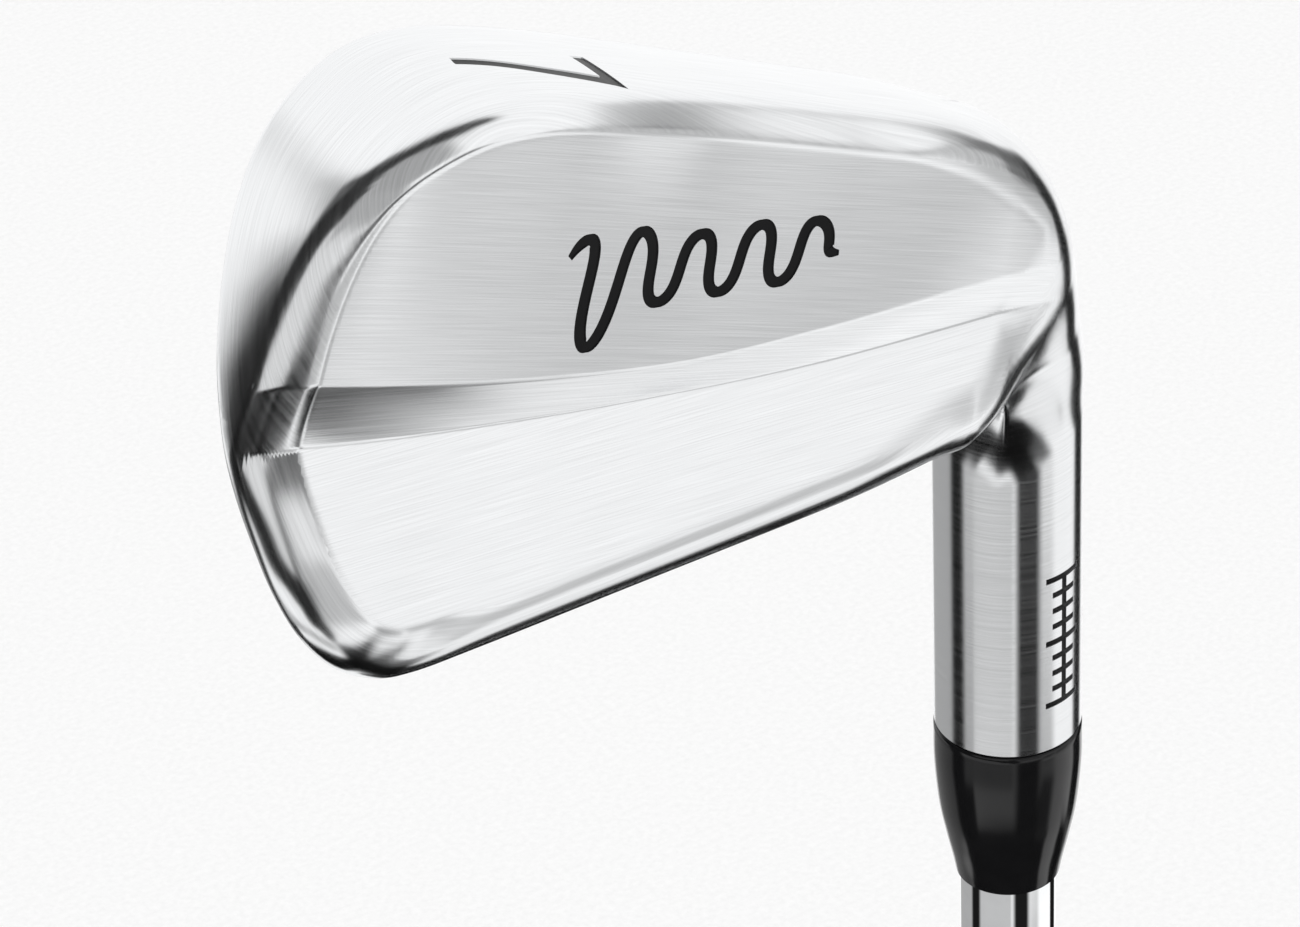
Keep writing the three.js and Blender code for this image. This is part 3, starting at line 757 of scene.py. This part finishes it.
def brushed(name, colour, roughness, anisotropy):
    """Chrome with fine brush lines along the first axis of the grain map."""
    nodes = Nodes(name).set(Metallic=1.0, Anisotropic=anisotropy)
    lines = nodes.noise(nodes.coordinates((0.1, 10.0, 1), "grain"), detail=2)
    streaks = nodes.noise(nodes.coordinates((0.04, 3.5, 1), "grain"), detail=2)
    dark = tuple(v * 0.88 for v in colour)
    tone = nodes.blend(nodes.spread(lines, 0, 1), dark, colour)
    nodes.link(tone, nodes.shader.inputs["Base Color"])
    rough = nodes.spread(streaks, roughness - 0.03, roughness + 0.03)
    nodes.link(rough, nodes.shader.inputs["Roughness"])
    tangent = nodes.node("ShaderNodeAttribute", attribute_name="spread").outputs["Vector"]
    nodes.link(tangent, nodes.shader.inputs["Tangent"])
    nodes.bump(lines, LINE_BUMP, LINE_HEIGHT)
    return nodes.material


def plain(name, colour, roughness, metallic=0.0, scale=400.0, bump=0.0, gloss=0.5):
    """A finish with a slight procedural change of tone and roughness."""
    nodes = Nodes(name).set(Metallic=metallic, Specular_IOR_Level=gloss)
    noise = nodes.noise(nodes.coordinates((1, 1, 1)), scale)
    light = tuple(min(1, v * (1 + TONE_CHANGE) + TONE_CHANGE * 0.02) for v in colour)
    tone = nodes.blend(nodes.spread(noise, 0, 1), colour, light)
    nodes.link(tone, nodes.shader.inputs["Base Color"])
    rough = nodes.spread(noise, roughness * (1 - TONE_CHANGE), roughness * (1 + TONE_CHANGE))
    nodes.link(rough, nodes.shader.inputs["Roughness"])
    if bump:
        nodes.bump(noise, bump, RUBBER_HEIGHT)
    return nodes.material


# ---- head piece ----------------------------------------------------------------------------
# Roughness and anisotropy of each finish, and the turn of the brush lines on the back.
GRAIN = {
    "around": (0.17, 0.6), "muscle": (0.22, 0.6), "step": (0.15, 0.3), "thin": (0.22, 0.6),
    "face": (0.36, 0.2), "hosel": (0.17, 0.6), "bore": (0.4, 0.0), "cut": (0.35, 0.0),
}
LINE_TURN = {"muscle": 0.07, "step": 0.12, "thin": 0.27}
CHROME = (0.86, 0.87, 0.88)
NORMAL_REACH = 0.25


def hosel_share(points):
    """How far the surface at these points belongs to the hosel rather than the blade."""
    blade = blade_field(*face_plane(points))
    return smooth(-3, 3, blade - hosel_field(*points.T))


def head_finish(points, names):
    """Index of the finish at points on the head, told from the shape there."""
    p, q, d = face_plane(points)
    rim, back, chamfer = blade_sides(p, q, d)
    top, foot = along(STEP_TOP, p), along(STEP_FOOT, p)
    behind = np.where(q < top, names.index("muscle"), np.where(
        q < foot, names.index("step"), names.index("thin")))
    nearest = np.argmax([rim, chamfer, back, -d], 0)
    around = np.full(len(p), names.index("around"))
    face = np.full(len(p), names.index("face"))
    finish = np.choose(nearest, [around, around, behind, face])
    return np.where(hosel_share(points) > 0.5, names.index("hosel"), finish)


def grain_of(points, name):
    """Grain coordinates in millimetres and the spread direction across the brush lines."""
    p, q, d = face_plane(points)
    count = len(p)
    round_way = np.arctan2(points[:, 0], -points[:, 1])
    hosel = np.stack([round_way * HOSEL_R, points[:, 2]], -1)
    if name in ("hosel", "bore"):
        grain, across = hosel, np.tile([0, 0, 1.0], (count, 1))
    elif name == "around":
        place = rim_measure(p, q - np.maximum(d, 0) * sole_lean(q))[1]
        grain = np.stack([place, d], -1)
        across = np.tile(placed(0, 0, 1) - placed(0, 0, 0), (count, 1))
    else:
        turn = LINE_TURN.get(name, 0.0)
        cos, sin = math.cos(turn), math.sin(turn)
        grain = np.stack([p * cos + q * sin, q * cos - p * sin], -1)
        across = np.tile(placed(-sin, cos, 0) - placed(0, 0, 0), (count, 1))
    if name in ("bore", "cut"):
        return grain, across
    share = hosel_share(points)[:, None]
    return grain * (1 - share) + hosel * share, across * (1 - share) + [0, 0, 1.0] * share


def add_grain(mesh, names):
    """Store the brush lines' map and the spread direction on every corner."""
    count = len(mesh.loops)
    corner_finish, corner_vertex = corner_facts(mesh)
    points = mesh_points(mesh)
    grain, spread_way = np.zeros((count, 2)), np.zeros((count, 3))
    for index, name in enumerate(names):
        chosen = corner_finish == index
        if chosen.any():
            grain[chosen], spread_way[chosen] = grain_of(points[corner_vertex[chosen]], name)
    layer = mesh.uv_layers.get("grain") or mesh.uv_layers.new(name="grain")
    layer.data.foreach_set("uv", grain.ravel())
    attribute = mesh.attributes.new("spread", "FLOAT_VECTOR", "CORNER")
    attribute.data.foreach_set("vector", spread_way.ravel())


def true_normals(mesh, names):
    """Set the shading of the swept surface from the slope of its field."""
    points = mesh_points(mesh)
    steps = NORMAL_REACH * np.eye(3)
    slope = np.stack([head_field(points + step) - head_field(points - step) for step in steps], -1)
    slope /= np.maximum(np.linalg.norm(slope, axis=1, keepdims=True), 1e-9)
    corners = np.empty(len(mesh.loops) * 3)
    mesh.corner_normals.foreach_get("vector", corners)
    corners = corners.reshape(-1, 3)
    finish, vertex = corner_facts(mesh)
    swept = (finish != names.index("cut")) & (finish != names.index("bore"))
    corners[swept] = slope[vertex[swept]]
    mesh.normals_split_custom_set(corners.tolist())


def swept_head(names, materials):
    """The head before anything is cut into it, with a finish on every face."""
    rings = head_rings()
    rows = len(rings)
    centres = np.array([rings[0].mean(0), rings[-1].mean(0)])
    points = np.concatenate([rings.reshape(-1, 3), centres])
    faces = grid_faces(rows, RING)
    first, last = rows * RING, rows * RING + 1
    start = (rows - 1) * RING
    for i in range(RING):
        j = (i + 1) % RING
        faces.append([first, j, i])
        faces.append([last, start + i, start + j])
    middles = np.array([points[face].mean(0) for face in faces])
    finish = head_finish(middles, names)
    finish[(rows - 5) * RING:start] = names.index("bore")
    finish[start:] = np.tile([names.index("around"), names.index("bore")], RING)
    head = new_object("head", to_part(points), faces, materials)
    head.data.polygons.foreach_set("material_index", finish)
    return head


def build_head():
    names = list(GRAIN)
    materials = [brushed("chrome_" + name, CHROME, *GRAIN[name]) for name in names]
    head = swept_head(names, materials)
    tool_points, tool_faces = cutter()
    tool = new_object("tool", to_part(tool_points), tool_faces, materials)
    tool.data.polygons.foreach_set("material_index", np.full(len(tool_faces), names.index("cut")))
    for obj in (head, tool):
        obj.data.validate()
        obj.data.update()
        outward(obj)
    cut_away(head, tool)
    add_grain(head.data, names)
    shade(head, 32)
    true_normals(head.data, names)
    return head


def fill(name, edges, place, depth, material, columns=1):
    """Enamel that fills a recess to just under the surface."""
    points, faces = bar(edges, place, depth - FILL_GAP, FILL_TOP, columns)
    obj = new_object(name, to_part(points), faces, [material])
    outward(obj)
    shade(obj)
    return obj


# ---- turned pieces ------------------------------------------------------------------------
def closing_faces(rows, cols):
    """Quads between the last ring and the first."""
    start = (rows - 1) * cols
    return [[start + i, start + (i + 1) % cols, (i + 1) % cols, i] for i in range(cols)]


def turned(name, profile, material, segments=128, z=0.0):
    """A tube turned from a closed loop of (radius, height) points in millimetres."""
    angle = 2 * math.pi * np.arange(segments) / segments
    ring = np.stack([np.cos(angle), np.sin(angle)], -1)
    points = [[r * x, r * y, h + z] for r, h in profile for x, y in ring]
    rows = len(profile)
    faces = grid_faces(rows, segments) + closing_faces(rows, segments)
    obj = new_object(name, np.array(points) / 1000, faces, [material])
    outward(obj)
    shade(obj)
    return obj


def eased(profile, n=8):
    """The same profile with smooth curves between its points."""
    points = np.array(profile, float)
    slope = np.gradient(points[:, 0], points[:, 1])
    rows = []
    for i in range(len(points) - 1):
        (r0, z0), (r1, z1) = points[i], points[i + 1]
        rise = z1 - z0
        for t in np.arange(n) / n:
            rows.append((hermite(t, r0, r1, slope[i] * rise, slope[i + 1] * rise), z0 + rise * t))
    return rows + [tuple(points[-1])]


def build_shaft(material):
    top = CLUB_LENGTH - HOSEL_END + BORE_DEPTH - SHAFT_TOP_GAP
    tip_end = top - SHAFT_TIP_LENGTH
    rise = (tip_end - SHAFT_STEPS_FROM) / SHAFT_STEPS
    drop = (SHAFT_BUTT_R - SHAFT_TIP_R) / SHAFT_STEPS
    outer = [(SHAFT_BUTT_R, SHAFT_START)]
    for i in range(SHAFT_STEPS):
        z = SHAFT_STEPS_FROM + (i + 0.5) * rise
        r = SHAFT_BUTT_R - i * drop
        outer += [(r, z), (r - drop, z + SHAFT_STEP_LENGTH)]
    outer.append((SHAFT_TIP_R, top))
    tip_bore = SHAFT_TIP_R - SHAFT_TIP_WALL
    butt_bore = SHAFT_BUTT_R - SHAFT_BUTT_WALL
    bore = [
        (tip_bore, top), (tip_bore, tip_end), (butt_bore, SHAFT_STEPS_FROM), (butt_bore, SHAFT_START),
    ]
    return turned("steel_shaft", outer + bore, material, 96)


def build_ferrule(material):
    top = CLUB_LENGTH - HOSEL_END - FERRULE_GAP
    side = eased([
        (4.86, -17), (5.1, -15.7), (5.76, -12.6), (6.3, -9.7), (6.6, -7), (6.79, -4), (6.8, -0.3),
    ])
    profile = [(4.52, -17), (4.75, -17)] + side + [(6.72, -0.05), (6.66, 0), (4.52, 0)]
    return turned("ferrule_sleeve", profile, material, z=top)


# ---- grip ---------------------------------------------------------------------------------
GRIP_HEIGHTS = [3.7, 12, 60, 130, 200, 254, 256, 267]
GRIP_RADII = [13.2, 13.2, 12.4, 11.3, 10.1, 9.05, 9.0, 8.9]
TREAD_COLUMNS = 30
TREAD_PITCH = 4.2
TREAD_DEPTH = 0.32
TREAD_START = 20
TREAD_END = 238
TREAD_FADE = 2
# Grooves round the grip: the height, the half width at the top and at the bottom.
GRIP_RINGS = [(16, 0.9, 0.5), (242, 0.9, 0.5), (246, 0.7, 0.4)]
GROOVE_RING_DEPTH = 0.4
# From the top of the tread on: the seat of the white ring, the lip, the bore, the foot.
GRIP_END = [
    (9.05, 254), (8.7, 254), (8.7, 256), (9.0, 256), (9.05, 256.3), (8.95, 266.4), (8.7, 267),
    (7.92, 267), (7.92, 3.7), (13.0, 3.7),
]
CAP_PROFILE = [
    (1.6, 0.3), (1.9, 0), (4.6, 0), (4.8, 0.35), (5.4, 0.35), (5.6, 0), (10.4, 0), (10.6, 0.3),
    (11.0, 0.3), (11.2, 0), (12.2, 0), (12.75, 0.12), (13.05, 0.45), (13.2, 1), (13.2, 3.5),
    (13.1, 3.6), (1.6, 3.6),
]
BAND_PROFILE = [
    (7.68, 272), (7.78, 272), (7.82, 272.1), (7.82, 295.9), (7.78, 296), (7.68, 296),
]
RING_PROFILE = [
    (8.76, 254.1), (8.9, 254.1), (8.95, 254.3), (8.95, 255.7), (8.9, 255.9), (8.76, 255.9),
]


def grip_radius(z):
    return np.interp(z, GRIP_HEIGHTS, GRIP_RADII)


def grip_relief(angle, z):
    """Depth of the tread: small raised diamonds in panels between plain bands."""
    turns = angle / (2 * math.pi) * TREAD_COLUMNS
    along_grip = z / TREAD_PITCH
    one = np.abs((turns + along_grip) % 1 - 0.5)
    two = np.abs((turns - along_grip) % 1 - 0.5)
    cut = np.maximum(smooth(0.36, 0.46, one), smooth(0.36, 0.46, two))
    fade_up = smooth(TREAD_START, TREAD_START + TREAD_FADE, z)
    panel = fade_up * (1 - smooth(TREAD_END - TREAD_FADE, TREAD_END, z))
    rings = sum(smooth(wide, narrow, np.abs(z - at)) for at, wide, narrow in GRIP_RINGS)
    return TREAD_DEPTH * cut * panel + GROOVE_RING_DEPTH * np.clip(rings, 0, 1)


def build_grip(material):
    segments = 240
    angle = 2 * math.pi * np.arange(segments) / segments
    heights = np.concatenate([
        np.linspace(3.7, TREAD_START, 30),
        np.linspace(TREAD_START, TREAD_END, 520)[1:],
        np.linspace(TREAD_END, 253.9, 40)[1:],
    ])
    treaded = [(grip_radius(z) - grip_relief(angle, z), z) for z in heights]
    rings = [
        np.stack([r * np.cos(angle), r * np.sin(angle), np.full(segments, z)], -1)
        for r, z in treaded + GRIP_END
    ]
    faces = grid_faces(len(rings), segments) + closing_faces(len(rings), segments)
    grip = new_object("grip_rubber", np.concatenate(rings) / 1000, faces, [material])
    outward(grip)
    shade(grip, 50)
    return grip


# ---- view, light and floor -------------------------------------------------------------------
AZIMUTH = math.radians(32.74)
ELEVATION = math.radians(33.57)
ROLL = math.radians(-2.61)
TARGET = Vector((-0.03759, 0.0, 0.91765))
DISTANCE = 0.45
LENS = 148.6
SENSOR = 36


def set_camera():
    level = Vector((-math.sin(AZIMUTH), -math.cos(AZIMUTH), 0))
    back = level * math.cos(ELEVATION) + Vector((0, 0, math.sin(ELEVATION)))
    right = Vector((math.cos(AZIMUTH), -math.sin(AZIMUTH), 0))
    up = back.cross(right)
    rolled = right * math.cos(ROLL) + up * math.sin(ROLL)
    risen = up * math.cos(ROLL) - right * math.sin(ROLL)
    data = bpy.data.cameras.new("camera")
    data.lens = LENS
    data.sensor_width = SENSOR
    data.clip_start = 0.01
    camera = bpy.data.objects.new("camera", data)
    eye = TARGET + back * DISTANCE
    camera.matrix_world = Matrix((
        (rolled.x, risen.x, back.x, eye.x),
        (rolled.y, risen.y, back.y, eye.y),
        (rolled.z, risen.z, back.z, eye.z),
        (0, 0, 0, 1),
    ))
    bpy.context.scene.collection.objects.link(camera)
    bpy.context.scene.camera = camera


# The studio seen by the metal: an even sky with panels and discs painted over it.
# Places are an azimuth, from -Y towards +X, and an elevation, both in degrees. A panel is
# (middle, half width, edge) across and upwards; a disc is its middle, radius and edge.
# The last number is the brightness. Later ones lie over earlier ones.
OPEN_SKY = 1.1
DEGREES = math.degrees(1)
PANELS = "panel"
DISCS = "disc"
CARDS = [
    (PANELS, (-145, 22, 18), (60, 24, 14), 0.1),
    (PANELS, (165, 26, 12), (68, 10, 10), 0.04),
    (PANELS, (-114, 20, 22), (22, 30, 10), 0.008),
    (PANELS, (-100, 34, 14), (67, 9, 10), 0.012),
    (PANELS, (-165, 55, 15), (66, 7, 7), 0.015),
    (DISCS, (120, 60), 11, 9, 0.02),
    (DISCS, (115, 45), 5, 7, 0.03),
    (PANELS, (-30, 38, 12), (57, 13, 9), 0.45),
    (DISCS, (40, 74), 16, 10, 0.4),
    (PANELS, (-62, 22, 9), (24, 17, 8), 0.8),
    (PANELS, (-8, 16, 6), (4, 10, 6), 0.6),
    (PANELS, (-31, 3, 4), (15, 10, 5), 0.12),
    (PANELS, (12, 36, 10), (30, 4, 6), 0.12),
    (PANELS, (-72, 46, 6), (-1, 8, 3), 0.0),
    (DISCS, (-41, -9), 10, 4, 0.0),
    (DISCS, (-28, -16), 7, 4, 0.01),
    (PANELS, (90, 19, 10), (-5, 19, 6), 0.6),
    (PANELS, (49, 9, 5), (-19, 6, 5), 0.62),
    (DISCS, (24, -18), 5, 8, 0.42),
    (PANELS, (104, 8, 7), (0, 7, 7), 0.2),
    (PANELS, (98, 11, 5), (-24, 18, 6), 0.01),
    (PANELS, (-158, 34, 4), (-38, 12, 4), 0.42),
    (PANELS, (-70, 37, 8), (-34, 3, 4), 0.55),
    (PANELS, (-120, 8, 9), (-36, 26, 8), 0.01),
    (PANELS, (-108, 12, 6), (-50, 9, 5), 0.005),
    (DISCS, (20, -50), 7, 5, 0.01),
    (PANELS, (-5, 12, 14), (-40, 12, 8), 0.012),
    (PANELS, (-27, 100, 6), (-67, 16, 5), 0.005),
    (PANELS, (28, 5, 14), (-45, 7, 3), 0.1),
    (PANELS, (105, 42, 6), (-66, 19, 5), 0.005),
    (DISCS, (59, -51), 8, 4, 1.0),
]


class Sky:
    """Node tree of the studio: plain and pale to the eye, cards and flags to the metal."""

    def __init__(self):
        world = bpy.data.worlds.new("studio")
        world.use_nodes = True
        self.tree = world.node_tree
        self.background = self.tree.nodes["Background"]
        bpy.context.scene.world = world

    def math(self, operation, *values):
        node = self.tree.nodes.new("ShaderNodeMath")
        node.operation = operation
        for socket, value in zip(node.inputs, values):
            if isinstance(value, (int, float)):
                socket.default_value = value
            else:
                self.tree.links.new(value, socket)
        return node.outputs[0]

    def fade(self, away, half, edge):
        """One while away is under half, falling smoothly to zero over the edge."""
        ramp = self.tree.nodes.new("ShaderNodeMapRange")
        ramp.interpolation_type = "SMOOTHSTEP"
        self.tree.links.new(away, ramp.inputs["Value"])
        bounds = {"From Min": half, "From Max": half + edge, "To Min": 1, "To Max": 0}
        for key, number in bounds.items():
            ramp.inputs[key].default_value = number
        return ramp.outputs["Result"]

    def panel(self, azimuth, elevation, across, upright):
        """One inside a rectangle of sky, falling to zero past its edges."""
        aside = self.math("WRAP", self.math("SUBTRACT", azimuth, across[0]), 180.0, -180.0)
        beside = self.fade(self.math("ABSOLUTE", aside), across[1], across[2])
        above = self.math("ABSOLUTE", self.math("SUBTRACT", elevation, upright[0]))
        return self.math("MULTIPLY", beside, self.fade(above, upright[1], upright[2]))

    def disc(self, where, place, radius, edge):
        """One inside a circle of sky, falling to zero past its edge."""
        a, e = (math.radians(v) for v in place)
        middle = (math.sin(a) * math.cos(e), -math.cos(a) * math.cos(e), math.sin(e))
        node = self.tree.nodes.new("ShaderNodeVectorMath")
        node.operation = "DOT_PRODUCT"
        self.tree.links.new(where, node.inputs[0])
        node.inputs[1].default_value = middle
        away = self.math("MULTIPLY", self.math("ARCCOSINE", node.outputs["Value"]), DEGREES)
        return self.fade(away, radius, edge)

    def paint(self, base):
        """Brightness of the sky in the direction looked at, cards and all."""
        where = self.tree.nodes.new("ShaderNodeTexCoord").outputs["Generated"]
        parts = self.tree.nodes.new("ShaderNodeSeparateXYZ")
        self.tree.links.new(where, parts.inputs[0])
        x, y, z = parts.outputs
        forward = self.math("MULTIPLY", y, -1.0)
        azimuth = self.math("MULTIPLY", self.math("ARCTAN2", x, forward), DEGREES)
        elevation = self.math("MULTIPLY", self.math("ARCSINE", z), DEGREES)
        value = self.math("ADD", base, 0.0)
        for kind, *shape, brightness in CARDS:
            if kind == PANELS:
                mask = self.panel(azimuth, elevation, *shape)
            else:
                mask = self.disc(where, *shape)
            change = self.math("MULTIPLY", self.math("SUBTRACT", brightness, value), mask)
            value = self.math("ADD", value, change)
        return value

    def finish(self, value):
        """Show the painted sky to glossy rays and a plain one to all the others.

        Sockets 2 and 3 of the mix are its two numbers.
        """
        path = self.tree.nodes.new("ShaderNodeLightPath")
        seen = self.tree.nodes.new("ShaderNodeMix")
        seen.data_type = "FLOAT"
        self.tree.links.new(path.outputs["Is Glossy Ray"], seen.inputs["Factor"])
        seen.inputs[2].default_value = 1.0
        self.tree.links.new(value, seen.inputs[3])
        self.tree.links.new(seen.outputs[0], self.background.inputs["Strength"])
        self.background.inputs["Color"].default_value = (1, 1, 1, 1)


def set_studio():
    sky = Sky()
    sky.finish(sky.paint(OPEN_SKY))
    bpy.context.scene.view_settings.view_transform = "Standard"


def add_floor():
    size = 30.0
    corners = [(-size, -size, 0), (size, -size, 0), (size, size, 0), (-size, size, 0)]
    pale = plain("pale_floor", (0.93, 0.93, 0.93), 0.9)
    ground = new_object("floor", corners, [[0, 1, 2, 3]], [pale])
    ground.visible_glossy = False


# ---- the whole club -----------------------------------------------------------------------------
def settle(obj, node):
    """Put a detailed mesh in the place of a CAD node."""
    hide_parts(node)
    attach(obj, "root")


def keep(node, material):
    """Leave a hidden CAD node as it is and give it a finish."""
    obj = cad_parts[node]
    obj.data.materials.clear()
    obj.data.materials.append(material)


def build_enamel():
    enamel = plain("black_enamel", (0.004, 0.004, 0.0045), 0.3, gloss=0.1)
    mark = fill("mark_enamel", flourish(FILL_INSET), on_muscle, MARK_DEPTH, enamel)
    settle(mark, "back_mark_fill")
    figure = fill("figure_enamel", seven(FILL_INSET), on_sole, MARK_DEPTH, enamel, 3)
    settle(figure, "sole_number_fill")
    scale = fill("scale_enamel", hosel_scale(), on_hosel, SCALE_DEPTH, enamel, 8)
    settle(scale, "hosel_scale_fill")


def build_club():
    settle(build_head(), "head_forging")
    build_enamel()
    glossy = plain("ferrule_plastic", (0.006, 0.006, 0.0065), 0.12, gloss=0.32)
    settle(build_ferrule(glossy), "ferrule")
    mirror = plain("bright_chrome", (0.88, 0.89, 0.9), 0.05, metallic=1.0)
    settle(build_shaft(mirror), "shaft")
    rubber = plain("grip_rubber_finish", (0.018, 0.018, 0.019), 0.72, scale=2500, bump=0.4)
    settle(build_grip(rubber), "grip_sleeve")
    plastic = plain("cap_plastic", (0.015, 0.015, 0.016), 0.4)
    settle(turned("grip_cap", CAP_PROFILE, plastic), "grip_end_cap")
    band = plain("band_vinyl", (0.35, 0.36, 0.38), 0.3, metallic=0.7)
    settle(turned("shaft_label", BAND_PROFILE, band, 96), "shaft_band")
    white = plain("white_enamel", (0.8, 0.8, 0.79), 0.4)
    settle(turned("grip_ring", RING_PROFILE, white), "grip_ring_fill")
    keep("hosel_epoxy", plain("cured_epoxy", (0.5, 0.37, 0.14), 0.4))
    keep("tip_weight", plain("weight_brass", (0.6, 0.42, 0.16), 0.35, metallic=1.0))
    keep("grip_tape", plain("grip_tape", (0.68, 0.6, 0.4), 0.9))


set_camera()
set_studio()
add_floor()
build_club()
